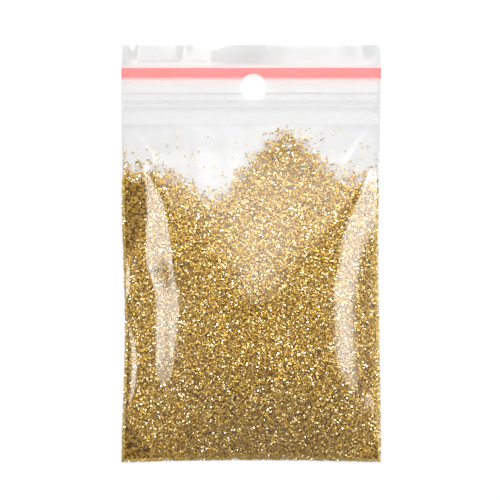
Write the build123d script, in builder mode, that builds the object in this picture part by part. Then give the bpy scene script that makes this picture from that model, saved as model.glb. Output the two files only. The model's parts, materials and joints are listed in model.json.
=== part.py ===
from build123d import *
import math
import os

# A small clear grip-seal bag of gold-coloured flake, lying on its back.
# +X runs along the zip, +Y from the bottom fold to the lips, +Z out of the front.
# The origin is the middle of the back face, on the table. Everything is in millimetres.

# ---- film and welds
bag_width = 60.0            # over the side welds
film = 0.10                 # wall film
weld_width = 0.5            # welded edge on each side
weld_thickness = 0.30       # bead of the pouch's side welds
bottom_fold_depth = 0.6     # folded bottom edge, along the bag

# ---- lengths along the bag
pouch_length = 70.0         # bottom fold to fold line
mouth_length = 8.0          # fold line to zip band
band_length = 13.6          # stiff band with zip, hang hole and stripe
lip_length = 4.9            # thin lips above the band

# ---- shape of the load
fill_crown = 7.0            # greatest height of the front film
rise_length = 22.0          # bottom fold to full height
plateau_end = 38.0          # where the front film starts to fall to the zip
side_power = 3.0            # how square the bag is across its width

# ---- band and zip
band_film = 0.20            # thickness of each band
zip_height = 4.7            # zip's middle over the band's lower edge
zip_depth = 0.80            # between the bands
head_width = 1.30           # male profile's head
head_depth = 0.25
stem_width = 0.80
hook_reach = 0.15           # hooks stand in over the head on each side
hook_depth = 0.20
channel_wall = 0.20
zip_clearance = 0.10        # all round the head in its channel

# ---- hang hole, guide ribs and stripe
hole_radius = 3.0
hole_offset = 0.5           # the punch sits a little right of the middle
hole_gap = 0.05             # between the zip's channel and the hole
rib_height = 7.2            # over the band's lower edge
rib_width = 0.35
rib_rise = 0.12
stripe_low = 10.6           # over the band's lower edge
stripe_width = 2.45
stripe_film = 0.05

# ---- lips
lip_gap = 0.25              # between the lips at their free edges

# ---- flake
fill_side = 2.0             # load's edge, in from the film's edge
fill_bottom = 3.0           # load's edge, up from the bottom fold
flake_size = 0.45           # across a flake
flake_thickness = 0.06
flake_pitch = 4.0           # between the scattered flakes
heap_top = 6.4              # heap's top over the fold line
heap_middle = 6.0           # heap's top, right of the middle
heap_reach = 17.0           # heap to each side of its top
heap_depth = 0.5

# ---- clearances
fold_gap = 0.2              # between pouch and header at the fold line
open_gap = 0.1              # between the front of the mouth and the header's welds
film_gap = 0.05             # between front and back film in the mouth
fill_gap = 0.1              # between flake and film

# ---- values that follow
bag_length = pouch_length + mouth_length + band_length + lip_length
bottom_y = -bag_length / 2
fold_y = bottom_y + pouch_length
band_y = fold_y + mouth_length
band_top_y = band_y + band_length
lip_y = band_top_y + lip_length
edge_x = bag_width / 2
wall_x = edge_x - weld_width
mouth_x = wall_x - open_gap
zip_y = band_y + zip_height
channel_half = head_width / 2 + zip_clearance
zip_top_y = zip_y + channel_half + channel_wall
hole_y = zip_top_y + hole_gap + hole_radius

front_band_z = band_film + zip_depth
front_band_top = front_band_z + band_film
head_top_z = front_band_z - zip_clearance
head_low_z = head_top_z - head_depth
hook_z = head_low_z - zip_clearance - hook_depth


def crown_at(height):
    """Height of the front film's outside on the centre line, at a height up the bag."""
    edge = weld_thickness
    if height < rise_length:
        return edge + (fill_crown - edge) * math.sin(math.pi / 2 * height / rise_length)
    if height < plateau_end:
        return fill_crown
    fall = (height - plateau_end) / (pouch_length + mouth_length - plateau_end)
    return front_band_top + (fill_crown - front_band_top) * (1 + math.cos(math.pi * fall)) / 2


def crown_points(half, edge, crown):
    """Points across the bag, on a curve that is flat in the middle and steep at the sides."""
    shares = [-1.0, -0.88, -0.7, -0.4, 0.0, 0.4, 0.7, 0.88, 1.0]
    return [(half * s, edge + (crown - edge) * (1 - abs(s) ** side_power)) for s in shares]


def stations(start, end):
    """Heights up the bag at which its cross-section is drawn."""
    steps = [0.0, 0.05, 0.12, 0.2, 0.31, 0.43, 0.54, 0.66, 0.78, 0.89, 1.0]
    return [start + (end - start) * s for s in steps]



# ================= pouch =================

# Flat back film, from the bottom fold to the fold line.
back_length = pouch_length - bottom_fold_depth - fold_gap / 2
with BuildPart() as back_wall:
    with BuildSketch():
        with Locations((0, bottom_y + bottom_fold_depth + back_length / 2)):
            Rectangle(2 * wall_x, back_length)
    extrude(amount=film)
back_wall.part.label = "back_wall"

# Front film: a thin shell crowned over the flake, open below and at the mouth.
front_start = bottom_fold_depth
front_end = pouch_length - fold_gap / 2
front_stations = stations(front_start, front_end)
hollow_stations = [front_start + film, *front_stations[1:-1], front_end + fold_gap]
with BuildPart() as front_wall:
    for height in front_stations:
        with BuildSketch(Plane.XZ.offset(-(bottom_y + height))):
            with BuildLine():
                outside = crown_points(wall_x, 2 * film, crown_at(height))
                Spline(*outside)
                Polyline(outside[-1], (wall_x, film), (-wall_x, film), outside[0])
            make_face()
    loft()
    for height in hollow_stations:
        with BuildSketch(Plane.XZ.offset(-(bottom_y + height))):
            with BuildLine():
                inside = crown_points(wall_x - film, film, crown_at(height) - film)
                Spline(*inside)
                Polyline(inside[-1], (wall_x - film, 0), (film - wall_x, 0), inside[0])
            make_face()
    loft(mode=Mode.SUBTRACT)
front_wall.part.label = "front_wall"

# Bottom edge, where the film is folded over.
with BuildPart() as bottom_fold:
    with BuildSketch(Plane.YZ.offset(-edge_x)):
        with BuildLine():
            fold_back = bottom_y + bottom_fold_depth
            fold_round = bottom_y + weld_thickness / 2
            Polyline(
                (fold_round, weld_thickness), (fold_back, weld_thickness), (fold_back, 0), (fold_round, 0)
            )
            ThreePointArc((fold_round, 0), (bottom_y, weld_thickness / 2), (fold_round, weld_thickness))
        make_face()
    extrude(amount=bag_width)
bottom_fold.part.label = "bottom_fold"

# Welded side edges of the pouch.
side_welds = {}
for side, name in ((-1, "left_side_weld"), (1, "right_side_weld")):
    with BuildPart() as side_weld:
        with BuildSketch():
            weld_middle = (side * (edge_x - weld_width / 2), bottom_y + bottom_fold_depth + back_length / 2)
            with Locations(weld_middle):
                Rectangle(weld_width, back_length)
        extrude(amount=weld_thickness)
        outer_edges = side_weld.edges().filter_by(Axis.Y).sort_by(Axis.X)
        chamfer(outer_edges[-2:] if side > 0 else outer_edges[:2], length=film)
    side_weld.part.label = name
    side_welds[name] = side_weld

# Load of flake, just inside the film and short of its sharp edges.
fill_half = wall_x - film - fill_side
fill_floor = film + fill_gap
side_share = fill_half / (wall_x - film)
with BuildPart() as flake_fill:
    for height in stations(fill_bottom, front_end - fill_gap):
        with BuildSketch(Plane.XZ.offset(-(bottom_y + height))):
            with BuildLine():
                fill_top = crown_at(height) - film - fill_gap
                fill_edge = fill_top - (fill_top - film + fill_gap) * side_share**side_power
                top_line = crown_points(fill_half, fill_edge, fill_top)
                Spline(*top_line)
                Polyline(top_line[-1], (fill_half, fill_floor), (-fill_half, fill_floor), top_line[0])
            make_face()
    loft()
flake_fill.part.label = "flake_fill"


# ================= header =================

# Flat back film between the fold line and the band.
back_mouth_length = mouth_length - fold_gap / 2
with BuildPart() as back_mouth_wall:
    with BuildSketch():
        with Locations((0, band_y - back_mouth_length / 2)):
            Rectangle(2 * wall_x, back_mouth_length)
    extrude(amount=film)
back_mouth_wall.part.label = "back_mouth_wall"

# Thick back band, with the hang hole.
with BuildPart() as back_band:
    with BuildSketch():
        with Locations((0, band_y + band_length / 2)):
            Rectangle(2 * wall_x, band_length)
        with Locations((hole_offset, hole_y)):
            Circle(hole_radius, mode=Mode.SUBTRACT)
    extrude(amount=band_film)
back_band.part.label = "back_band"

# Male zip profile: a stem with a wider, chamfered head.
with BuildPart() as zip_rib:
    with BuildSketch(Plane.YZ.offset(-mouth_x)):
        with Locations((zip_y, (band_film + head_top_z) / 2)):
            Rectangle(stem_width, head_top_z - band_film)
        with BuildLine():
            head_half = head_width / 2
            Polyline(
                (zip_y - head_half, head_low_z),
                (zip_y + head_half, head_low_z),
                (zip_y + head_half - zip_clearance, head_top_z),
                (zip_y - head_half + zip_clearance, head_top_z),
                close=True,
            )
        make_face()
    extrude(amount=2 * mouth_x)
zip_rib.part.label = "zip_rib"

# Fine guide rib on the inside of the back band, cut by the hang hole.
with BuildPart() as back_guide_rib:
    with BuildSketch(Plane.XY.offset(band_film)):
        with Locations((0, band_y + rib_height)):
            Rectangle(2 * mouth_x, rib_width)
        with Locations((hole_offset, hole_y)):
            Circle(hole_radius, mode=Mode.SUBTRACT)
    extrude(amount=rib_rise)
back_guide_rib.part.label = "back_guide_rib"

# Thin back lip.
with BuildPart() as back_lip:
    with BuildSketch():
        with Locations((0, band_top_y + lip_length / 2)):
            Rectangle(2 * wall_x, lip_length)
    extrude(amount=film)
back_lip.part.label = "back_lip"

# Welded side edges of the header: they follow the front film up to the band and down the lips.
header_welds = {}
for start_x, name in ((-edge_x, "left_header_weld"), (wall_x, "right_header_weld")):
    with BuildPart() as header_weld:
        with BuildSketch(Plane.YZ.offset(start_x)):
            with BuildLine():
                weld_start = fold_y + fold_gap / 2
                Polyline(
                    (weld_start, 0),
                    (weld_start, weld_thickness),
                    (band_y, front_band_top),
                    (band_top_y, front_band_top),
                    (lip_y, weld_thickness),
                    (lip_y, 0),
                    close=True,
                )
            make_face()
        extrude(amount=weld_width)
    header_weld.part.label = name
    header_welds[name] = header_weld

# Top of the heap of flake, reaching up under the zip.
heap_base_y = fold_y + fold_gap
with BuildPart() as mouth_heap:
    with BuildSketch(Plane.XY.offset(fill_floor)):
        with BuildLine():
            heap_left = (heap_middle - heap_reach, heap_base_y)
            heap_right = (heap_middle + heap_reach, heap_base_y)
            heap_peak = (heap_middle, heap_base_y + heap_top)
            Spline(heap_left, heap_peak, heap_right, tangents=[(1, 0.2), (1, -0.2)])
            Line(heap_right, heap_left)
        make_face()
    extrude(amount=heap_depth)
mouth_heap.part.label = "mouth_heap"

# Loose flakes on the back film, beside the heap.
flake_spots = []
for column in range(-6, 7):
    spot_x = column * flake_pitch
    spot_y = fold_y + mouth_length * (0.45 + 0.25 * math.sin(2.4 * column))
    if abs(spot_x - heap_middle) > heap_reach - flake_pitch:
        flake_spots.append((spot_x, spot_y))
with BuildPart() as mouth_flakes:
    with BuildSketch(Plane.XY.offset(fill_floor)):
        with Locations(flake_spots):
            RegularPolygon(radius=flake_size / 2, side_count=6)
    extrude(amount=flake_thickness)
mouth_flakes.part.label = "mouth_flakes"


# ================= front of the mouth =================

# Front film from the fold line to the band: crowned at the fold, flat at the band.
mouth_start = fold_gap / 2
mouth_edge = film + film_gap
with BuildPart() as front_mouth_wall:
    for rise in (mouth_start, mouth_length / 2, mouth_length):
        share = rise / mouth_length
        edge_low = mouth_edge + (front_band_top - film - mouth_edge) * share
        crown = crown_at(pouch_length + rise)
        with BuildSketch(Plane.XZ.offset(-(fold_y + rise))):
            with BuildLine():
                upper = crown_points(mouth_x, edge_low + film, crown)
                lower = [(x, z - film) for x, z in upper]
                Spline(*upper)
                Line(upper[-1], lower[-1])
                Spline(*lower[::-1])
                Line(lower[0], upper[0])
            make_face()
    loft(ruled=True)
front_mouth_wall.part.label = "front_mouth_wall"

# Thick front band, with the hang hole.
with BuildPart() as front_band:
    with BuildSketch(Plane.XY.offset(front_band_z)):
        with Locations((0, band_y + band_length / 2)):
            Rectangle(2 * mouth_x, band_length)
        with Locations((hole_offset, hole_y)):
            Circle(hole_radius, mode=Mode.SUBTRACT)
    extrude(amount=band_film)
front_band.part.label = "front_band"

# Female zip profile: two hooked walls that hold the head between them.
with BuildPart() as zip_channel:
    with BuildSketch(Plane.YZ.offset(-mouth_x)):
        for side in (-1, 1):
            with Locations((zip_y + side * (channel_half + channel_wall / 2), (hook_z + front_band_z) / 2)):
                Rectangle(channel_wall, front_band_z - hook_z)
            with Locations((zip_y + side * (channel_half - hook_reach / 2), hook_z + hook_depth / 2)):
                Rectangle(hook_reach, hook_depth)
    extrude(amount=2 * mouth_x)
zip_channel.part.label = "zip_channel"

# Fine guide rib across the outside of the front band, cut by the hang hole.
with BuildPart() as front_guide_rib:
    with BuildSketch(Plane.XY.offset(front_band_top)):
        with Locations((0, band_y + rib_height)):
            Rectangle(2 * mouth_x, rib_width)
        with Locations((hole_offset, hole_y)):
            Circle(hole_radius, mode=Mode.SUBTRACT)
    extrude(amount=rib_rise)
front_guide_rib.part.label = "front_guide_rib"

# Red line along the band, notched by the hang hole.
with BuildPart() as red_stripe:
    with BuildSketch(Plane.XY.offset(front_band_top)):
        with Locations((0, band_y + stripe_low + stripe_width / 2)):
            Rectangle(2 * mouth_x, stripe_width)
        with Locations((hole_offset, hole_y)):
            Circle(hole_radius, mode=Mode.SUBTRACT)
    extrude(amount=stripe_film)
red_stripe.part.label = "red_stripe"

# Thin front lip, falling from the band to just over the back lip.
lip_low = film + lip_gap
with BuildPart() as front_lip:
    with BuildSketch(Plane.YZ.offset(-mouth_x)):
        with BuildLine():
            Spline((band_top_y, front_band_top), (lip_y, lip_low + film), tangents=[(1, 0), (1, -0.1)])
            Line((lip_y, lip_low + film), (lip_y, lip_low))
            Spline((lip_y, lip_low), (band_top_y, front_band_top - film), tangents=[(-1, 0.1), (-1, 0)])
            Line((band_top_y, front_band_top - film), (band_top_y, front_band_top))
        make_face()
    extrude(amount=2 * mouth_x)
front_lip.part.label = "front_lip"


# ================= one file for each piece =================

pieces = [
    back_wall, front_wall, bottom_fold, *side_welds.values(), flake_fill,
    back_mouth_wall, back_band, zip_rib, back_guide_rib, back_lip, *header_welds.values(),
    mouth_heap, mouth_flakes,
    front_mouth_wall, front_band, zip_channel, front_guide_rib, red_stripe, front_lip,
]
os.makedirs("parts", exist_ok=True)
for piece in pieces:
    export_step(piece.part, f"parts/{piece.part.label}.step")
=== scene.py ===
import json
import math
import random

import bmesh
import bpy
from mathutils import Euler, Matrix, Vector, noise


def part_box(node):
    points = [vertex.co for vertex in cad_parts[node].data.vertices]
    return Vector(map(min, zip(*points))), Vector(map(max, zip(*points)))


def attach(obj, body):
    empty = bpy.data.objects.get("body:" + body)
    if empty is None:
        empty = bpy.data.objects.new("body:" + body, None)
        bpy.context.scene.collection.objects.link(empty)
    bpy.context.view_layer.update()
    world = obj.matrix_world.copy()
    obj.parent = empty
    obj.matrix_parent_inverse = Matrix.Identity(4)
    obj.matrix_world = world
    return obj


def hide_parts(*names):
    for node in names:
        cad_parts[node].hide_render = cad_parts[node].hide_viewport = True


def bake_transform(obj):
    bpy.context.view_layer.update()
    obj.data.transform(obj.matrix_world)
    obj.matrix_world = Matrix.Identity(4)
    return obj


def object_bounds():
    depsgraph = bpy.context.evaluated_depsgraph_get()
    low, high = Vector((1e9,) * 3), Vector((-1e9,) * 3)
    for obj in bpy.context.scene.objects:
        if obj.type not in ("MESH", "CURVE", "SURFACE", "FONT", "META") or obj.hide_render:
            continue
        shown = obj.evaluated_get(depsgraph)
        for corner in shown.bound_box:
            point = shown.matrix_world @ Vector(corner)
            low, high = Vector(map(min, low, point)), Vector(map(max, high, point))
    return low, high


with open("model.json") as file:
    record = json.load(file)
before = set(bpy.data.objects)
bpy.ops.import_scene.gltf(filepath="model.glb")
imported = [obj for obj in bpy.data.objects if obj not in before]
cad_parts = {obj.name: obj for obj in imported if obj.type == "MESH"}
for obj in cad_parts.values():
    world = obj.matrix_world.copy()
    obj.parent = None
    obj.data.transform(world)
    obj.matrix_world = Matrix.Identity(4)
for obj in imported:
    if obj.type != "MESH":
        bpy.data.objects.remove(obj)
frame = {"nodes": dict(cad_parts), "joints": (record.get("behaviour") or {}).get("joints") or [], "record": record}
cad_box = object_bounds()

# A small clear grip-seal bag of gold-coloured flake, lying on its back on a pale table.
# The shapes below are worked out in millimetres and written to the meshes in metres.
MM = 0.001
collection = bpy.context.scene.collection


def box_mm(name):
    """Lowest and highest corner of a CAD node, in millimetres."""
    lowest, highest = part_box(name)
    return lowest / MM, highest / MM


# ---- Camera and studio -------------------------------------------------------------------
# A long lens straight over the bag, so that it is seen flat, in a soft white studio.
VIEW_WIDTH = 115.4                # across the picture, at the bag
AIM = (-0.29, 0.81)               # the picture's middle, from the bag's middle
camera_data = bpy.data.cameras.new("camera")
camera_data.lens = 250
camera_data.sensor_width = 36
camera = bpy.data.objects.new("camera", camera_data)
camera_height = VIEW_WIDTH / 2 / (camera_data.sensor_width / 2 / camera_data.lens)
camera.location = Vector((AIM[0], AIM[1], camera_height)) * MM
collection.objects.link(camera)
bpy.context.scene.camera = camera
bpy.context.scene.view_settings.view_transform = "Standard"
bpy.context.scene.cycles.transparent_max_bounces = 48


def linear(colour):
    """An sRGB hex colour such as "#E7BC61" as linear red, green, blue and alpha."""
    parts = [int(colour[i:i + 2], 16) / 255 for i in (1, 3, 5)]
    return [p / 12.92 if p <= 0.04045 else ((p + 0.055) / 1.055) ** 2.4 for p in parts] + [1.0]


def add(tree, kind, inputs=None, **settings):
    """Adds a node of that kind, sets its properties, and sets or links each named input."""
    node = tree.nodes.new(kind)
    for name, value in settings.items():
        setattr(node, name, value)
    for name, value in (inputs or {}).items():
        if isinstance(value, bpy.types.NodeSocket):
            tree.links.new(value, node.inputs[name])
        else:
            node.inputs[name].default_value = value
    return node


def new_material(name):
    """An empty node material, and its node tree."""
    material = bpy.data.materials.new(name)
    material.use_nodes = True
    material.node_tree.nodes.clear()
    return material, material.node_tree


# The room has pale walls that darken to the ceiling, a little lighter on the zip's side.
world = bpy.data.worlds.new("soft_white_room")
world.use_nodes = True
tree = world.node_tree
coordinates = add(tree, "ShaderNodeTexCoord")
direction = add(tree, "ShaderNodeSeparateXYZ", {"Vector": coordinates.outputs["Generated"]})
drop = add(tree, "ShaderNodeMath", {0: 1.0, 1: direction.outputs["Z"]}, operation="SUBTRACT", use_clamp=True)
wall = add(tree, "ShaderNodeMath", {0: drop.outputs[0], 1: 0.7}, operation="POWER")
level = add(tree, "ShaderNodeMath", {0: wall.outputs[0], 1: 0.55, 2: 0.10}, operation="MULTIPLY_ADD")
side = add(tree, "ShaderNodeMath", {0: direction.outputs["Y"], 1: 0.30, 2: 1.0}, operation="MULTIPLY_ADD")
glow = add(tree, "ShaderNodeMath", {0: level.outputs[0], 1: side.outputs[0]}, operation="MULTIPLY")
tree.links.new(glow.outputs[0], tree.nodes["Background"].inputs["Strength"])
tree.nodes["Background"].inputs["Color"].default_value = linear("#FFFFFF")
bpy.context.scene.world = world

# The softboxes are ovals that hang round the bag, 0.7 m away. Three nested ones over the zip end
# lay a broad soft sheen on the film that falls to the zip, a nested pair on each side draws an
# upright one down each shoulder, and the key lights the whole from past the lips. Each is: name,
# degrees from overhead towards +X and towards +Y, width and length in degrees, radiance.
SOFTBOX_DISTANCE = 0.70
SOFTBOXES = [
    ("softbox_zip_wide", 1, 19, 20, 34, 0.65),
    ("softbox_zip_middle", 1, 20, 14, 26, 0.65),
    ("softbox_zip_narrow", 1, 22, 8, 18, 0.65),
    ("softbox_key", 6, 50, 40, 25, 5.2),
    ("softbox_left_wide", -49, 12, 21, 46, 2.1),
    ("softbox_left_narrow", -49, 14, 17, 40, 2.1),
    ("softbox_right_wide", 43, 10, 25, 46, 2.2),
    ("softbox_right_narrow", 43, 12, 20, 38, 2.2),
]
for name, lean_x, lean_y, wide, long, radiance in SOFTBOXES:
    light = bpy.data.lights.new(name, "AREA")
    light.shape = "ELLIPSE"
    light.size = 2 * SOFTBOX_DISTANCE * math.tan(math.radians(wide / 2))
    light.size_y = 2 * SOFTBOX_DISTANCE * math.tan(math.radians(long / 2))
    area = light.size * light.size_y * (math.pi / 4)
    light.energy = radiance * math.pi * area
    softbox = bpy.data.objects.new(name, light)
    turn = Euler((-math.radians(lean_y), math.radians(lean_x), 0)).to_matrix()
    softbox.matrix_world = turn.to_4x4() @ Matrix.Translation((0, 0, SOFTBOX_DISTANCE))
    collection.objects.link(softbox)

# Three small hard lamps past the zip end give the flake its sparkle. Each is: degrees from
# overhead towards +X and towards +Y.
SPARKLE_LAMPS = [(-13, 35), (12, 38), (-2, 48)]
SPARKLE_SIZE = 5                  # degrees across
SPARKLE_RADIANCE = 40
for number, (lean_x, lean_y) in enumerate(SPARKLE_LAMPS, 1):
    light = bpy.data.lights.new(f"sparkle_lamp_{number}", "SUN")
    light.angle = math.radians(SPARKLE_SIZE)
    light.energy = SPARKLE_RADIANCE * math.pi * math.sin(light.angle / 2) ** 2
    lamp = bpy.data.objects.new(light.name, light)
    lamp.rotation_euler = Euler((-math.radians(lean_y), math.radians(lean_x), 0))
    collection.objects.link(lamp)

# The table is smooth matt white laminate, just under the bag.
TABLE_SIZE = 6000.0
TABLE_TOP = -0.05
laminate, tree = new_material("white_laminate_matt")
coordinates = add(tree, "ShaderNodeTexCoord")
grain = add(tree, "ShaderNodeTexNoise", {"Vector": coordinates.outputs["Object"], "Scale": 900.0})
relief = add(tree, "ShaderNodeBump", {"Height": grain.outputs["Fac"], "Strength": 0.02, "Distance": 0.0001})
surface = add(tree, "ShaderNodeBsdfPrincipled", {
    "Base Color": linear("#FAFAFA"), "Roughness": 0.6, "IOR": 1.5, "Normal": relief.outputs["Normal"]})
surface.inputs["Specular IOR Level"].default_value = 0.2
add(tree, "ShaderNodeOutputMaterial", {"Surface": surface.outputs["BSDF"]})
bm = bmesh.new()
bmesh.ops.create_grid(bm, x_segments=4, y_segments=4, size=TABLE_SIZE / 2 * MM)
bmesh.ops.translate(bm, verts=bm.verts, vec=(0, 0, TABLE_TOP * MM))
table_mesh = bpy.data.meshes.new("table")
bm.to_mesh(table_mesh)
bm.free()
table_mesh.materials.append(laminate)
table = bpy.data.objects.new("table", table_mesh)
collection.objects.link(table)


# ---- Film -----------------------------------------------------------------------------------
# The wall is clear low-density polyethylene, blown to a tube 0.1 mm thick and pressed flat: a
# soft gloss over a faint haze. The back sheet lies flat and runs from the bottom fold to the band.
wall_high = box_mm("front_wall")[1]
band_low, band_high = box_mm("front_band")
back_high = box_mm("back_wall")[1]
hinge = Vector(frame["joints"][0]["pos_m"]) / MM
FILM = back_high.z                # thickness of the wall
BOTTOM = cad_box[0].y / MM         # y of the bottom fold
FOLD = hinge.y - BOTTOM           # the header folds here, over the bottom fold
BAND = band_low.y - BOTTOM        # lower edge of the zip band, over the bottom fold
HALF = wall_high.x                # half the film's width, inside the welds
EDGE = 0.3                        # height of the front film at the welds
CROWN = wall_high.z               # greatest height of the front film
BAND_TOP = band_high.z            # the closed bands' front
RISE = 26.0                       # bottom fold to full height
PLATEAU = 35.0                    # where the front film starts to fall to the band
LEVEL = 73.0                      # where it has reached the band's level
ROUND = 0.25                      # the crown's own fall from the middle to the sides, as a share
SHOULDER_ROUND = 2.6              # how gently the crown turns into the shoulders
SHOULDER_FOOT = 24                # bottom fold to the shoulders' full height
SHOULDER_LIFT = 2.5               # more height in the middle, so that the crown tops them there
SHOULDER_SLOPE = 11.5             # their height in the middle where they have become straight
STRAIGHT_FROM = 46                # where they start to become straight
STRAIGHT_OVER = 14
DROOP_FROM = 38                   # where they start to sink towards the zip
SHOULDER_DROOP = 0.011            # the share that they sink by for each millimetre


def clear_film(name, clear, haze, gloss, wrinkle, mirror_share=0.050):
    """Polyethylene film: clear by transmission, a milky haze, and a soft-edged gloss on both faces."""
    material, tree = new_material(name)
    coordinates = add(tree, "ShaderNodeTexCoord")
    # the blown film's fine ripple, about 2.5 mm across
    ripple = add(tree, "ShaderNodeTexNoise", {
        "Vector": coordinates.outputs["Object"], "Scale": 400.0, "Detail": 2.0})
    relief = add(tree, "ShaderNodeBump", {
        "Height": ripple.outputs["Fac"], "Strength": wrinkle, "Distance": 0.0004})
    # both faces reflect alike: a little straight on, more at a glance
    facing = add(tree, "ShaderNodeLayerWeight", {"Blend": 0.5})
    glance = add(tree, "ShaderNodeMath", {0: facing.outputs["Facing"], 1: 5.0}, operation="POWER")
    mirror = add(tree, "ShaderNodeMath", {0: glance.outputs[0], 1: 0.90, 2: mirror_share},
                 operation="MULTIPLY_ADD", use_clamp=True)
    through = add(tree, "ShaderNodeBsdfTransparent", {"Color": [*([clear] * 3), 1.0]})
    milk = add(tree, "ShaderNodeBsdfDiffuse", {"Color": linear("#FFFFFF"), "Roughness": 0.5})
    glow = add(tree, "ShaderNodeBsdfTranslucent", {"Color": linear("#FFFFFF")})
    body = add(tree, "ShaderNodeMixShader", {0: 0.5, 1: milk.outputs[0], 2: glow.outputs[0]})
    hazy = add(tree, "ShaderNodeMixShader", {0: haze, 1: through.outputs[0], 2: body.outputs[0]})
    shine = add(tree, "ShaderNodeBsdfGlossy", {
        "Color": linear("#FFFFFF"), "Roughness": gloss, "Normal": relief.outputs["Normal"]})
    skin = add(tree, "ShaderNodeMixShader", {
        0: mirror.outputs[0], 1: hazy.outputs[0], 2: shine.outputs[0]})
    add(tree, "ShaderNodeOutputMaterial", {"Surface": skin.outputs[0]})
    return material


wall_film = clear_film("polyethylene_film_clear", clear=0.986, haze=0.010, gloss=0.10, wrinkle=0.05)


# The full pouch draws its side edges in a little. Each waist is: how far, where it starts and
# where it ends over the bottom fold. The bottom fold is bowed up in the middle by FOOT_BOW, which
# dies away up the bag.
LEFT_WAIST = (0.75, 0, 62)
RIGHT_WAIST = (0.6, 2, 96)
FOOT_BOW = 0.55
FOOT_BOW_REACH = 12


def waist(side, h):
    """How far a side edge is drawn in, at h over the bottom fold."""
    deep, start, end = LEFT_WAIST if side < 0 else RIGHT_WAIST
    return deep * math.sin(math.pi * (h - start) / (end - start)) ** 2 if start < h < end else 0.0


def place(x, h, z):
    """A point x across, h over the bottom fold and z over the table, as the full bag lies."""
    share = x / HALF
    across = x - math.copysign(waist(share, h) * min(1.0, share * share), x)
    bow = FOOT_BOW * (1 - share * share) * max(0.0, 1 - h / FOOT_BOW_REACH)
    return Vector((across, BOTTOM + h + bow, z)) * MM


def finish_piece(bm, name, material):
    """The bmesh as a linked object of that name, with smooth faces and sharp rims."""
    bmesh.ops.recalc_face_normals(bm, faces=bm.faces)
    for face in bm.faces:
        face.smooth = True
    for edge in bm.edges:
        edge.smooth = len(edge.link_faces) == 2 and edge.calc_face_angle(0.0) < math.radians(50)
    mesh = bpy.data.meshes.new(name)
    bm.to_mesh(mesh)
    bm.free()
    mesh.materials.append(material)
    piece = bpy.data.objects.new(name, mesh)
    collection.objects.link(piece)
    return piece


def film_sheet(columns, rows, across, along, shape, thickness=FILM, crowd=0.0):
    """A sheet of film in a grid of cells, moved to shape(x, h), with its thickness behind its face.
    crowd brings the columns closer together towards the sides."""
    bm = bmesh.new()
    bmesh.ops.create_grid(bm, x_segments=columns, y_segments=rows, size=0.5)
    for v in bm.verts:
        share = 2 * v.co.x
        share *= 1 + crowd * (1 - share * share)
        x = across[0] + (share + 1) / 2 * (across[1] - across[0])
        h = along[0] + (v.co.y + 0.5) * (along[1] - along[0])
        v.co = shape(x, h)
    bm.normal_update()
    bmesh.ops.solidify(bm, geom=bm.faces[:], thickness=thickness * MM)
    return bm


def back_height(x, h):
    """The back film lies on the table, with the slightest ripple."""
    return FILM + 0.04 * (1 + noise.noise(Vector((x / 12, h / 15, 3.0))))


back_film = finish_piece(
    film_sheet(60, 80, (-HALF, HALF), (0, BAND), lambda x, h: place(x, h, back_height(x, h))),
    "back_film", wall_film)
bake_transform(back_film)
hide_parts("back_wall", "back_mouth_wall")


def along_curve(points, x):
    """The value at x of a smooth curve through a few (x, value) points."""
    for (x_start, start), (x_end, end) in zip(points, points[1:]):
        if x <= x_end:
            share = max(0.0, (x - x_start) / (x_end - x_start))
            return start + (end - start) * share * share * (3 - 2 * share)
    return points[-1][1]


# The front sheet is the other side of the tube. The load crowns it, the side seams hold it down
# in shoulders, and slack gathers in soft folds. Each fold is: x and h where it starts,
# x and h where it ends, how far it bows towards +X, width and height.
FOLDS = [
    (-29.9, 8.0, -29.7, 34.0, 3.3, 1.4, 0.36),
    (-29.9, 37.5, -29.9, 49.0, 1.8, 1.2, 0.32),
    (28.4, 17.0, 30.2, 4.5, -0.6, 1.3, 0.36),
    (-21.4, 67.0, -29.4, 79.0, 0.0, 1.6, 0.10),
    (21.0, 67.0, 29.4, 79.0, 0.0, 1.4, 0.10),
    (-12.0, 64.0, -12.6, 80.0, 0.0, 2.0, 0.07),
    (-4.8, 64.0, -5.6, 80.0, 0.0, 1.8, 0.07),
    (14.0, 66.0, 15.0, 80.0, 0.0, 2.6, 0.06),
]


def fold_rise(x, h):
    """The height that the folds add at a place."""
    total = 0.0
    for x_start, h_start, x_end, h_end, bow, width, rise in FOLDS:
        along = (h - h_start) / (h_end - h_start)
        if 0 < along < 1:
            swell = math.sin(math.pi * along) ** 0.6
            middle = x_start + (x_end - x_start) * along + bow * swell
            total += rise * swell * math.exp(-((x - middle) / width) ** 2)
    return total


# The left shoulder steepens into a ledge along the bag: its middle as a share of the half width,
# its half width as that share, and its slope, each as (h over the bottom fold, value). The slope
# that it adds is 1 - u ** 4 of its greatest, with u from -1 to 1 across it.
LEDGE_PLACE = [(26, 0.69), (37, 0.67), (47, 0.735), (58, 0.745), (68, 0.82)]
LEDGE_WIDTH = [(26, 0.08), (37, 0.10), (47, 0.135), (58, 0.10), (68, 0.045)]
LEDGE_SLOPE = [(37, 0.46), (47, 0.47), (58, 0.45), (68, 0.34), (74, 0.0)]
LEDGE_FROM = 37                   # below this it softens with the crown
LEDGE_FALL = 1.6                  # the sum of 1 - u ** 4 across it
# The slope round the ledge, as (share of the half width, slope as a share of the steepest).
LEFT_SLOPE = [(0.0, 0.0), (0.67, 1.0), (0.85, 0.55), (1.0, 0.50)]


def left_slope(share):
    """The slope at a share of the half width, and the height from there down to the seam."""
    slope = fallen = 0.0
    for (start, slope_start), (end, slope_end) in zip(LEFT_SLOPE, LEFT_SLOPE[1:]):
        at = max(start, min(share, end))
        slope_at = slope_start + (slope_end - slope_start) * (at - start) / (end - start)
        fallen += (end - at) * (slope_at + slope_end) / 2
        if start <= share <= end:
            slope = slope_at
    return slope, fallen


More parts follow.
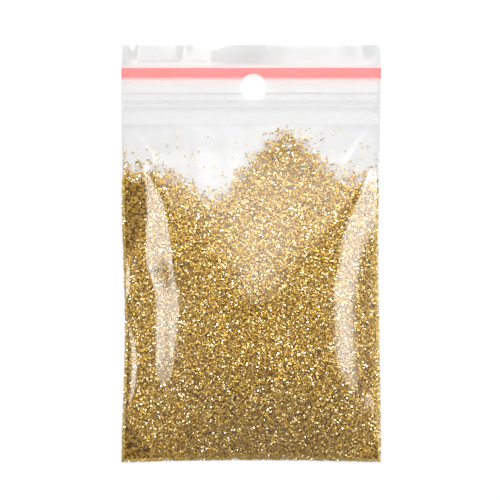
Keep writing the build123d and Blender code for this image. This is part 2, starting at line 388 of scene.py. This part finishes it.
def left_height(share, h, rise):
    """The left half's height over the seam, which reaches rise in the middle."""
    middle = along_curve(LEDGE_PLACE, h)
    wide = along_curve(LEDGE_WIDTH, h)
    steep = along_curve(LEDGE_SLOPE, h) * min(1.0, rise / (CROWN - EDGE) if h < LEDGE_FROM else 1.0)
    around = left_slope(middle)[0]
    fall = LEDGE_FALL * wide
    gain = (rise - fall * HALF * steep) / (HALF * (left_slope(0.0)[1] - fall * around))
    u = max(-1.0, min(1.0, (share - middle) / wide))
    ledge = (steep - gain * around) * wide * (LEDGE_FALL / 2 - u + u ** 5 / 5)
    return HALF * (gain * left_slope(share)[1] + ledge)


def crown_height(h):
    """The front film's height along the middle of the bag."""
    if h < RISE:
        return EDGE + (CROWN - EDGE) * math.sin(math.pi / 2 * h / RISE)
    if h < PLATEAU:
        return CROWN
    fall = min(1.0, (h - PLATEAU) / (LEVEL - PLATEAU))
    return BAND_TOP + (CROWN - BAND_TOP) * (1 + math.cos(math.pi * fall)) / 2


def right_height(share, h, crown):
    """The right half's height over the table: the lower of the load's crown and the shoulder that
    the side seam holds down, rounded where they meet."""
    shoulder = EDGE + (CROWN - EDGE) * (1 - share ** 3) * (1 - max(0.0, 1 - h / SHOULDER_FOOT) ** 2)
    shoulder *= 1 - SHOULDER_DROOP * max(0.0, h - DROOP_FROM)
    straight = min(1.0, max(0.0, (h - STRAIGHT_FROM) / STRAIGHT_OVER))
    straight_height = EDGE + SHOULDER_SLOPE * (1 - share)
    shoulder += (straight_height - shoulder) * straight * straight * (3 - 2 * straight)
    shoulder += SHOULDER_LIFT * max(0.0, 1 - 2 * share) ** 2
    turn = min(SHOULDER_ROUND, 0.45 * crown)
    near = max(0.0, 1 - abs(crown - shoulder) / turn)
    return min(crown, shoulder) - turn / 6 * near ** 3


# Each half flattens to the band: where it starts to, over the bottom fold, and over how far.
LEFT_FLATTENS = (68, 8)
RIGHT_FLATTENS = (62, 12)


def front_height(x, h):
    """Height of the front film over the table."""
    share = min(1.0, abs(x) / HALF)
    along_middle = crown_height(h)
    crown = EDGE + (along_middle - EDGE) * (1 - ROUND * share * share)
    if x < 0:
        full = EDGE + left_height(share, h, along_middle - EDGE)
        start, reach = LEFT_FLATTENS
    else:
        full = right_height(share, h, crown)
        start, reach = RIGHT_FLATTENS
    flat = EDGE + (crown - EDGE) * (1 - share ** 3)
    toward_band = min(1.0, max(0.0, (h - start) / reach))
    toward_band *= toward_band * (3 - 2 * toward_band)
    height = full + (flat - full) * toward_band
    ends = min(1.0, h / 3) * min(1.0, (BAND - h) / 1.5)
    slack = fold_rise(x, h) + 0.08 * noise.noise(Vector((x / 10, h / 16, 0.0)))
    return max(0.2, height + slack * (1 - share ** 40) * max(0.0, ends))


def front_lean(x, h):
    """How far the front film leans there, about X and about Y, in radians."""
    step = 0.4
    along = (front_height(x, h + step) - front_height(x, h - step)) / (2 * step)
    across = (front_height(x + step, h) - front_height(x - step, h)) / (2 * step)
    return math.atan(along), -math.atan(across)


MOUTH = FOLD + 3                  # the pouch's front film ends here, and the mouth's begins
front_film = finish_piece(
    film_sheet(190, 200, (-HALF, HALF), (0.6, MOUTH), lambda x, h: place(x, h, front_height(x, h)),
               crowd=0.3),
    "front_film", wall_film)
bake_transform(front_film)
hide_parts("front_wall")


# ---- Mouth film ------------------------------------------------------------------------------
# Between the load and the zip the front sheet is the mouth. Its middle swings open with the front
# band and its corners stay with the side seams, so it is cut along the two slanting lines
# where it bends both ways alike.
OPEN_OUT = 10.0                   # from here to the middle the front opens fully
OPEN_IN = 30.0                    # at the side seams it doesn't open


def cut_away(bm, point, normal):
    """Removes what lies on the normal's side of a plane, and makes the cut a clean edge."""
    bmesh.ops.bisect_plane(
        bm, geom=[*bm.verts, *bm.edges, *bm.faces], dist=1e-7, plane_co=point, plane_no=normal,
        clear_outer=True)


def slanting_cut(side, keep_corner):
    """A point on the mouth's slanting line on one side, and the direction that is cut away."""
    corner = Vector((side * OPEN_IN, MOUTH, 0))
    inner = Vector((side * OPEN_OUT, BAND, 0))
    run = inner - corner
    away = Vector((run.y, -run.x, 0)) * side
    return corner, (-away if keep_corner else away)


def mouth_sheet(cuts):
    """The mouth's flat grid, cut along those lines, then raised to the film's height."""
    bm = bmesh.new()
    bmesh.ops.create_grid(bm, x_segments=150, y_segments=14, size=0.5)
    for v in bm.verts:
        v.co = Vector((2 * HALF * v.co.x, MOUTH + (v.co.y + 0.5) * (BAND - MOUTH), 0))
    for point, normal in cuts:
        cut_away(bm, point, normal)
    for v in bm.verts:
        v.co = place(v.co.x, v.co.y, front_height(v.co.x, v.co.y))
    bm.normal_update()
    bmesh.ops.solidify(bm, geom=bm.faces[:], thickness=FILM * MM)
    return bm


mouth_middle = finish_piece(
    mouth_sheet([slanting_cut(-1, False), slanting_cut(1, False)]), "front_mouth_film", wall_film)
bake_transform(mouth_middle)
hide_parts("front_mouth_wall")
for side, name in ((-1, "left_mouth_gusset"), (1, "right_mouth_gusset")):
    gusset = finish_piece(mouth_sheet([slanting_cut(side, True)]), name, wall_film)
    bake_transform(gusset)


# ---- Seams and bottom fold --------------------------------------------------------------------
# The bag is cut from its tube by a hot wire, which leaves a fine melted bead along each side.
# The bottom is the tube's own fold, so it is a soft round edge with no bead.
SEAM_EDGE = box_mm("right_side_weld")[1].x
HEADER_HEIGHT = BAND_TOP
LENGTH = cad_box[1].y / MM - BOTTOM
LIP = band_high.y - BOTTOM        # where the lips start, over the bottom fold
seam_film = clear_film("polyethylene_hot_cut_bead", clear=0.935, haze=0.015, gloss=0.18, wrinkle=0.15)


def slab(columns, rows, across, along, shape, base):
    """A closed body: a grid moved to shape(x, h), and its copy below at base(x, h)."""
    bm = bmesh.new()
    bmesh.ops.create_grid(bm, x_segments=columns, y_segments=rows, size=0.5)
    raised = bmesh.ops.extrude_face_region(bm, geom=bm.faces[:])
    upper = {v for v in raised["geom"] if isinstance(v, bmesh.types.BMVert)}
    for v in bm.verts:
        x = across[0] + (v.co.x + 0.5) * (across[1] - across[0])
        h = along[0] + (v.co.y + 0.5) * (along[1] - along[0])
        v.co = shape(x, h) if v in upper else base(x, h)
    return bm


SEAM_SINK = 0.55                  # how far the beads come down towards the ends of the lips


def seam_height(h):
    """The side seam's height: flat on the pouch, up to the bands, and down to the lips."""
    up = min(1.0, max(0.0, (h - FOLD) / (BAND - FOLD)))
    down = min(1.0, max(0.0, (h - LIP) / (LENGTH - LIP)))
    return EDGE + (HEADER_HEIGHT - EDGE) * up * up * (3 - 2 * up) - SEAM_SINK * down


def seam_top(x, h):
    """The bead is rounded over its width, and a little uneven along it."""
    share = (abs(x) - HALF) / (SEAM_EDGE - HALF)
    bead = 1 - 0.5 * share ** 2 + 0.12 * noise.noise(Vector((h * 1.3, share, 7.0)))
    return place(x, h, seam_height(h) * bead)


for side, name in ((-1, "left"), (1, "right")):
    reach = (-SEAM_EDGE, -HALF) if side < 0 else (HALF, SEAM_EDGE)
    seam = finish_piece(
        slab(4, 190, reach, (0, LENGTH), seam_top, lambda x, h: place(x, h, 0.0)),
        name + "_side_seam", seam_film)
    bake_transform(seam)
    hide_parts(name + "_side_weld", name + "_header_weld")


FOLD_DEPTH = 0.6                  # along the bag
FOLD_RADIUS = EDGE / 2            # over the table


def fold_side(up):
    """The folded edge's upper or lower side, which is rounded over its depth."""
    def shape(x, h):
        share = 1 - h / FOLD_DEPTH
        rise = FOLD_RADIUS * math.sqrt(max(0.0, 1 - share * share))
        return place(x, h, FOLD_RADIUS + rise if up else FOLD_RADIUS - rise)
    return shape


bottom_fold = finish_piece(
    slab(80, 6, (-HALF, HALF), (0, FOLD_DEPTH), fold_side(True), fold_side(False)),
    "bottom_fold_edge", wall_film)
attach(bottom_fold, "pouch")
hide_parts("bottom_fold")


# ---- Zip bands --------------------------------------------------------------------------------
# The zip is extruded on two thicker strips, one in each wall. The film is milkier there. The
# front band is made as two halves that meet at the hang hole, because each bends its own way
# when the mouth opens.
band_film = clear_film("polyethylene_zip_strip", clear=0.982, haze=0.05, gloss=0.22, wrinkle=0.10)
# The rails' film is greyer than the strip's. The grey is painted shade, which draws the rails' edges as fine grey
# lines.
rail_film_painted_shade = clear_film(
    "polyethylene_moulded_wall_painted_shade", clear=0.965, haze=0.02, gloss=0.25, wrinkle=0.10, mirror_share=0.03)
rib_film = clear_film(
    "polyethylene_moulded_rib", clear=0.998, haze=0.01, gloss=0.25, wrinkle=0.10, mirror_share=0.006)
hole = next(m for m in frame["record"]["mounts"] if m["name"] == "hang_hole")
hole_middle = Vector(hole["pos_m"]) / MM
hole_radius = hole["dims"]["r_mm"]

bm = bmesh.new()
bmesh.ops.create_cone(bm, cap_ends=True, segments=72, radius1=hole_radius * MM,
                      radius2=hole_radius * MM, depth=10 * MM)
bmesh.ops.translate(bm, verts=bm.verts, vec=hole_middle * MM)
punch_mesh = bpy.data.meshes.new("punch")
bm.to_mesh(punch_mesh)
bm.free()
punch_pin = bpy.data.objects.new("punch", punch_mesh)
collection.objects.link(punch_pin)


def punch(piece):
    """Punches the hang hole through a piece."""
    cut = piece.modifiers.new("hang_hole", "BOOLEAN")
    cut.object = punch_pin
    cut.solver = "EXACT"
    bpy.context.view_layer.update()
    drawn = piece.evaluated_get(bpy.context.evaluated_depsgraph_get())
    punched = bpy.data.meshes.new_from_object(drawn)
    piece.modifiers.clear()
    piece.data = punched


def halves(front_name, low_x, high_x):
    """Name, side and reach across of a front strip's two halves."""
    middle = hole_middle.x
    return [("left_" + front_name, -1, (low_x, middle)), ("right_" + front_name, 1, (middle, high_x))]


def open_with_mouth(piece, side):
    """Writes a half strip's place into its mesh, as it lies closed."""
    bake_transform(piece)


for name, side, reach in halves("front_band", band_low.x, band_high.x):
    band = finish_piece(
        film_sheet(40, 12, reach, (BAND, LIP), lambda x, h: place(x, h, BAND_TOP),
                   band_high.z - band_low.z), name, band_film)
    punch(band)
    open_with_mouth(band, side)
    if side < 0:
        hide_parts("front_band")

# The back strip, the zip's rib and the back guide rib are the CAD model's own shapes.
# The back guide rib takes the rails' greyer film, whose grey is painted shade along its edges.
for name, material in (("back_band", band_film), ("zip_rib", rib_film), ("back_guide_rib", rail_film_painted_shade)):
    frame["nodes"][name].data.materials.clear()
    frame["nodes"][name].data.materials.append(material)


# ---- Zip channel and guide rib -----------------------------------------------------------------
# On the front strip, two hooked walls make the channel that the zip's rib presses into, and one
# fine rib above them guides the fingers. They are extruded with the strip, in a greyer film than it: the grey is
# painted shade, which draws their edges as fine lines.
channel_low, channel_high = box_mm("zip_channel")
rib_low, rib_high = box_mm("front_guide_rib")


def rail(profile, reach, name, material):
    """A straight rail: a closed outline of (y, z) points, drawn along X in short lengths."""
    bm = bmesh.new()
    corners = [bm.verts.new(Vector((reach[0], y, z)) * MM) for y, z in profile]
    end = bm.faces.new(corners)
    drawn = bmesh.ops.extrude_face_region(bm, geom=[end])
    far = [v for v in drawn["geom"] if isinstance(v, bmesh.types.BMVert)]
    bmesh.ops.translate(bm, verts=far, vec=((reach[1] - reach[0]) * MM, 0, 0))
    lengthwise = [e for e in bm.edges if abs(e.verts[0].co.x - e.verts[1].co.x) > MM]
    bmesh.ops.subdivide_edges(bm, edges=lengthwise, cuts=40, use_grid_fill=True)
    return finish_piece(bm, name, material)


CHANNEL_WALL = 0.2
HOOK_REACH = 0.15
HOOK_DEPTH = 0.2
for name, side, reach in halves("zip_wall", channel_low.x, channel_high.x):
    for which, outer, inward in (("lower_", channel_low.y, 1), ("upper_", channel_high.y, -1)):
        hooked = [
            (outer, channel_high.z), (outer, channel_low.z),
            (outer + inward * (CHANNEL_WALL + HOOK_REACH), channel_low.z),
            (outer + inward * (CHANNEL_WALL + HOOK_REACH), channel_low.z + HOOK_DEPTH),
            (outer + inward * CHANNEL_WALL, channel_low.z + HOOK_DEPTH),
            (outer + inward * CHANNEL_WALL, channel_high.z)]
        zip_wall = rail(hooked, reach, which + name, rail_film_painted_shade)
        open_with_mouth(zip_wall, side)
        if side < 0 and inward > 0:
            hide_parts("zip_channel")

for name, side, reach in halves("front_guide_rib", rib_low.x, rib_high.x):
    middle = (rib_low.y + rib_high.y) / 2
    radius = (rib_high.y - rib_low.y) / 2
    rise = rib_high.z - BAND_TOP
    bead = [(middle + radius * math.cos(math.pi * i / 8), BAND_TOP + rise * math.sin(math.pi * i / 8))
            for i in range(9)]
    rib = rail(bead, reach, name, rail_film_painted_shade)
    punch(rib)
    open_with_mouth(rib, side)
    if side < 0:
        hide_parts("front_guide_rib")


# ---- Red line -----------------------------------------------------------------------------------
# The red line is pigmented film laid on the front strip as it is blown, from edge to edge of the
# bag: a clear pinkish red with a crisp upper edge, fading out at its lower edge.
stripe_low, stripe_high = box_mm("red_stripe")
red_film, tree = new_material("polyethylene_red_pigmented")
coordinates = add(tree, "ShaderNodeTexCoord")
FADE = 1.2                        # the faded lower edge, half of it below the pigment's own edge
LINE_FOOT = stripe_low.y - FADE / 2
up_the_line = add(tree, "ShaderNodeAttribute", attribute_name="up_the_line")
fade = add(tree, "ShaderNodeMapRange", {
    "Value": up_the_line.outputs["Fac"], "From Min": 0.0, "From Max": FADE,
    "To Min": 0.0, "To Max": 1.0}, interpolation_type="SMOOTHSTEP")
streak = add(tree, "ShaderNodeMapping", {
    "Vector": coordinates.outputs["Object"], "Scale": (6.0, 1500.0, 1.0)})
pigment = add(tree, "ShaderNodeTexNoise", {"Vector": streak.outputs["Vector"], "Scale": 1.0, "Detail": 1.0})
dense = add(tree, "ShaderNodeMath", {0: pigment.outputs["Fac"], 1: 0.12, 2: 0.84}, operation="MULTIPLY_ADD")
strength = add(tree, "ShaderNodeMath", {0: dense.outputs[0], 1: fade.outputs[0]}, operation="MULTIPLY")
through = add(tree, "ShaderNodeBsdfTransparent", {"Color": linear("#FFFFFF")})
stained = add(tree, "ShaderNodeBsdfTransparent", {"Color": linear("#FFCFCE")})
ink = add(tree, "ShaderNodeBsdfDiffuse", {"Color": linear("#FF9492")})
glow = add(tree, "ShaderNodeBsdfTranslucent", {"Color": linear("#FF9492")})
body = add(tree, "ShaderNodeMixShader", {0: 0.15, 1: ink.outputs[0], 2: glow.outputs[0]})
inked = add(tree, "ShaderNodeMixShader", {0: 0.5, 1: stained.outputs[0], 2: body.outputs[0]})
surface = add(tree, "ShaderNodeMixShader", {
    0: strength.outputs[0], 1: through.outputs[0], 2: inked.outputs[0]})
add(tree, "ShaderNodeOutputMaterial", {"Surface": surface.outputs[0]})
LINE_END = SEAM_EDGE - 0.1        # it runs on over the side beads
for name, side, reach in halves("red_line", -LINE_END, LINE_END):
    line = finish_piece(
        film_sheet(40, 4, reach, (LINE_FOOT - BOTTOM, stripe_high.y - BOTTOM),
                   lambda x, h: place(x, h, stripe_high.z), stripe_high.z - stripe_low.z),
        name, red_film)
    punch(line)
    height_up = line.data.attributes.new("up_the_line", "FLOAT", "POINT")     # in millimetres
    height_up.data.foreach_set("value", [v.co.y / MM - LINE_FOOT for v in line.data.vertices])
    open_with_mouth(line, side)
    line.visible_shadow = False       # a stain this thin casts no shade
    if side < 0:
        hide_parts("red_stripe")
punched_away = punch_pin.data
bpy.data.objects.remove(punch_pin)
bpy.data.meshes.remove(punched_away)


# ---- Lips -----------------------------------------------------------------------------------------
# Above the zip each wall ends in a thin free lip, for the fingers to part. The cut edges are slack
# and curl unevenly. Each pair is: x, and the lip's slope there, positive where it rises.
lip_film = clear_film("polyethylene_lip_thin", clear=0.968, haze=0.01, gloss=0.12, wrinkle=0.08)
FRONT_CURL = [(-30, 0.05), (-29, 0.04), (-25.8, -0.19), (-17.4, -0.19), (-15.6, -0.13), (-13, -0.19),
              (-9.5, -0.17), (-5.5, 0.06), (0, 0.08), (4, 0.0), (9, -0.05), (20, -0.10),
              (25, -0.15), (29, 0.0), (30, 0.0)]
BACK_CURL = [(-30, 0.0), (-20, 0.05), (-8, 0.0), (2, 0.07), (12, 0.02), (24, 0.05), (30, 0.0)]


BACK_LIP = 0.2                    # its height over the table, as the back band's inner face
DIP_AT = -8.6                     # the front lip's edge is pulled down a little here
DIP_WIDTH = 3.0
DIP_DEPTH = 1.3


def lip(curl, z, dip):
    """The place of a lip's point, which leaves the band flat and takes up its slope."""
    def shape(x, h):
        out = (h - LIP) / (LENGTH - LIP)
        slope = along_curve(curl, x) * min(1.0, out * 4)
        rise = slope * (h - LIP) * (1 - 0.2 * out)
        pulled = dip * math.exp(-((x - DIP_AT) / DIP_WIDTH) ** 2) * out
        return place(x, h - pulled, z + rise)
    return shape


back_lip = finish_piece(
    film_sheet(120, 14, (-HALF, HALF), (LIP, LENGTH), lip(BACK_CURL, BACK_LIP, 0.0)),
    "back_lip_film", lip_film)
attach(back_lip, "header")
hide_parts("back_lip")
for name, side, reach in halves("front_lip", -HALF, HALF):
    front_lip = finish_piece(
        film_sheet(90, 14, reach, (LIP, LENGTH), lip(FRONT_CURL, BAND_TOP, DIP_DEPTH)),
        name, lip_film)
    open_with_mouth(front_lip, side)
    if side < 0:
        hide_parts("front_lip")


# ---- Flake --------------------------------------------------------------------------------------
# The load is gold-coloured flake: polyester film with a bright metal coat, cut into hexagons
# about 0.4 mm across. It lies heaped against both films. The bulk is one bed, with loose
# flakes all over it.
FLAKE = 0.39                      # over a flake's corners
FLAKE_THICK = 0.04
LOT = 40                          # flakes made at a time
GLINT_SPREAD = 3.5                # how exactly a glint faces its lamp, in degrees
HEAP_TOP = [(-30, 71.0), (-27, 69.5), (-22.7, 70.0), (-18.2, 68.8), (-14.1, 66.4), (-9.3, 63.6),
            (-5.8, 65.2), (-2.9, 69.4), (2.2, 73.6), (5.0, 76.4), (7.5, 77.4), (10.7, 76.6),
            (14.7, 73.0), (18.5, 69.6), (22.2, 69.0), (25.5, 67.3), (30, 69.0)]
TONES = ["#F3C950", "#E8BB42", "#FADF80", "#C8982C", "#97701E"]
TONE_SHARES = [33, 27, 18, 12, 6]  # weight of each tone
GLINTS = 5.0                      # weight of the pale ones, which show as sparkle


def heap_line(x):
    """Top of the heap at x, over the bottom fold."""
    return along_curve(HEAP_TOP, x)


def gold_coat(name, colour, roughness):
    """A flake's vacuum-metal coat under tinted lacquer. Each flake is one tone."""
    material, tree = new_material(name)
    coordinates = add(tree, "ShaderNodeTexCoord")
    scuff = add(tree, "ShaderNodeTexNoise", {"Vector": coordinates.outputs["Object"], "Scale": 1800.0})
    shade = add(tree, "ShaderNodeMapRange", {
        "Value": scuff.outputs["Fac"], "To Min": roughness - 0.1, "To Max": roughness + 0.1})
    coat = add(tree, "ShaderNodeBsdfPrincipled", {
        "Base Color": linear(colour), "Metallic": 1.0, "Roughness": shade.outputs[0],
        "Coat Weight": 0.5, "Coat Roughness": 0.12, "Coat IOR": 1.6})
    add(tree, "ShaderNodeOutputMaterial", {"Surface": coat.outputs[0]})
    return material


flake_coats = [gold_coat(f"gold_lacquered_flake_{i + 1}", tone, 0.48) for i, tone in enumerate(TONES)]
red_coat = gold_coat("red_lacquered_flake", "#C8232B", 0.35)
GLINT = len(flake_coats)
flake_coats += [gold_coat("pale_gold_lacquered_flake", "#FFEFC8", 0.24), red_coat]

# The bed under them shows the same flakes as cells 0.4 mm across, each with its own tone and tilt.
flake_bed_coat, tree = new_material("gold_flake_bed")
coordinates = add(tree, "ShaderNodeTexCoord")
cells = add(tree, "ShaderNodeTexVoronoi", {"Vector": coordinates.outputs["Object"], "Scale": 1 / (0.4 * MM)})
pick = add(tree, "ShaderNodeSeparateColor", {"Color": cells.outputs["Color"]})
tones = add(tree, "ShaderNodeValToRGB", {"Fac": pick.outputs["Red"]})
tones.color_ramp.interpolation = "CONSTANT"
for share, tone in ((0.0, "#6E5324"), (0.3, "#A67C34"), (0.6, "#D8A94C"), (0.85, "#E7BC61")):
    stop = tones.color_ramp.elements.new(share) if share else tones.color_ramp.elements[0]
    stop.color = linear(tone)
tones.color_ramp.elements.remove(tones.color_ramp.elements[-1])
relief = add(tree, "ShaderNodeBump", {
    "Height": pick.outputs["Green"], "Strength": 0.5, "Distance": 0.1 * MM})
coat = add(tree, "ShaderNodeBsdfPrincipled", {
    "Base Color": tones.outputs["Color"], "Metallic": 1.0, "Roughness": 0.42,
    "Normal": relief.outputs["Normal"]})
add(tree, "ShaderNodeOutputMaterial", {"Surface": coat.outputs[0]})

BED_EDGE = HALF - 0.3
BED_FOOT = 0.9                    # over the bottom fold
BED_BASE = 0.22                   # over the table
BED_DEPTH = 0.75                  # the bed's surface, under the front film
BED_TOP = 5.0                     # under the heap's outline
UPPER = FOLD - 4.0                # flake above this bends with the film, so the bed ends here


def bed_place(height):
    """Spreads the bed's grid between the bottom fold and the heap's top."""
    def shape(x, share):
        top = min(heap_line(x) - BED_TOP, UPPER)
        h = BED_FOOT + share * (top - BED_FOOT)
        return place(x, h, height(x, h))
    return shape


def bed_top(x, h):
    """The bed's surface, which is as lumpy as the heap."""
    return max(0.28, front_height(x, h) - BED_DEPTH - 0.25 * noise.noise(Vector((x * 0.9, h * 0.9, 5.0))))


flake_bed = finish_piece(
    slab(140, 150, (-BED_EDGE, BED_EDGE), (0, 1), bed_place(bed_top),
         bed_place(lambda x, h: BED_BASE)),
    "flake_bed", flake_bed_coat)
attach(flake_bed, "pouch")
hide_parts("flake_fill")


def lay_flakes(name, count, spot, seed):
    """A piece of loose flakes. spot(chance) gives each one's place, the lean of what it lies
    against, the spread about that in degrees and its coat, or nothing where none lies. A glint
    leans half-way to a sparkle lamp. They are made in small lots, which is quicker."""
    chance = random.Random(seed)
    heap = bmesh.new()
    laid = 0
    while laid < count:
        lot = bmesh.new()
        for i in range(min(LOT, count - laid)):
            where = None
            while where is None:
                where = spot(chance)
            middle, lean, spread, coat = where
            if coat == GLINT:
                lamp_x, lamp_y = chance.choice(SPARKLE_LAMPS)
                lean = (math.radians(-lamp_y / 2), math.radians(lamp_x / 2))
                spread = GLINT_SPREAD
            tip = Euler((lean[0] + math.radians(chance.gauss(0, spread)),
                         lean[1] + math.radians(chance.gauss(0, spread)), 0)).to_matrix()
            tip = tip @ Euler((0, 0, chance.uniform(0, math.tau))).to_matrix()
            grade = chance.uniform(0.7, 0.95) if coat == GLINT else chance.uniform(0.75, 1.2)
            flake = bmesh.ops.create_cone(
                lot, cap_ends=True, segments=6, radius1=0.0, radius2=FLAKE / 2 * MM * grade,
                depth=FLAKE_THICK * MM,
                matrix=Matrix.Translation(middle) @ tip.to_4x4())
            for face in {f for v in flake["verts"] for f in v.link_faces}:
                face.material_index = coat
        laid += LOT
        lot_mesh = bpy.data.meshes.new("lot")
        lot.to_mesh(lot_mesh)
        lot.free()
        heap.from_mesh(lot_mesh)
        bpy.data.meshes.remove(lot_mesh)
    mesh = bpy.data.meshes.new(name)
    heap.to_mesh(mesh)
    heap.free()
    for coat in flake_coats:
        mesh.materials.append(coat)
    piece = bpy.data.objects.new(name, mesh)
    collection.objects.link(piece)
    return piece


def coat_of(chance, h):
    """A flake's coat: one of the tones or a glint. Glints are made rarer near the bottom fold, as painted shade
    there.
    """
    sparkle_weight_with_painted_shade = GLINTS * min(1.0, 0.3 + h / 16)
    return chance.choices(range(len(TONES) + 1), [*TONE_SHARES, sparkle_weight_with_painted_shade])[0]


def cover(x, h):
    """How likely a flake is to lie at a place: certain inside the heap, and thinning out over 7.5 mm
    at its top, in patches about 2 mm across."""
    depth = heap_line(x) - h + 2.4 * noise.noise(Vector((x / 1.8, h / 1.8, 11.0)))
    return min(1.0, max(0.0, (depth + 1.5) / 7.5)) ** 2.4


def pouch_spot(chance):
    """A flake against the front film of the pouch, within about half a millimetre of it, and closer
    near the seams, where there is less room."""
    x = chance.uniform(-HALF - 0.3, HALF + 0.3)
    h = chance.uniform(0.25, UPPER)
    if chance.random() > cover(x, h):
        return None
    room = min(1.0, max(0.0, HALF - abs(x)) / 2.0, h / 2.0)
    z = front_height(x, h) - FILM - 0.06 - (0.06 + 0.5 * chance.random() ** 1.5) * (0.15 + 0.85 * room)
    return place(x, h, max(0.15, z)), front_lean(x, h), 6 + 18 * room, coat_of(chance, h)


def back_spot(chance):
    """A flake against the back film."""
    x = chance.uniform(-HALF + 0.05, HALF - 0.05)
    h = chance.uniform(0.5, UPPER)
    if chance.random() > cover(x, h):
        return None
    return place(x, h, 0.2 + 0.06 * chance.random()), (0.0, 0.0), 4, coat_of(chance, h)


def upper_spot(chance):
    """A flake at the heap's top, up to the band: dense below the line and scattered above it."""
    x = chance.uniform(-HALF + 0.05, HALF - 0.05)
    h = chance.uniform(UPPER, BAND - 0.2)
    over = h - heap_line(x)
    stray = 0.014 * math.exp(-max(0.0, over) / 2.5) + 0.0006
    if chance.random() > max(cover(x, h), stray):
        return None
    top = front_height(x, h) - FILM - 0.18
    z = top - (top - 0.3) * chance.random() ** 1.2
    return place(x, h, max(0.25, z)), (0.0, 0.0), 24, coat_of(chance, h)


for number in range(1, 5):
    flakes = lay_flakes(f"gold_flakes_{number}", 19000, pouch_spot, number)
    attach(flakes, "pouch")
back_flakes = lay_flakes("gold_flakes_back", 12000, back_spot, 7)
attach(back_flakes, "pouch")
upper_flakes = lay_flakes("gold_flakes_upper", 3800, upper_spot, 8)
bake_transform(upper_flakes)
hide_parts("mouth_heap", "mouth_flakes")


def red_spot(chance):
    """The one red fleck that has strayed in with the gold, lying just under the film at the heap's
    top."""
    x, h = 12.6, 74.4
    return place(x, h, front_height(x, h) - FILM - 0.12), (0.0, 0.0), 3, flake_coats.index(red_coat)


red_fleck = lay_flakes("red_fleck", 1, red_spot, 9)
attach(red_fleck, "header")
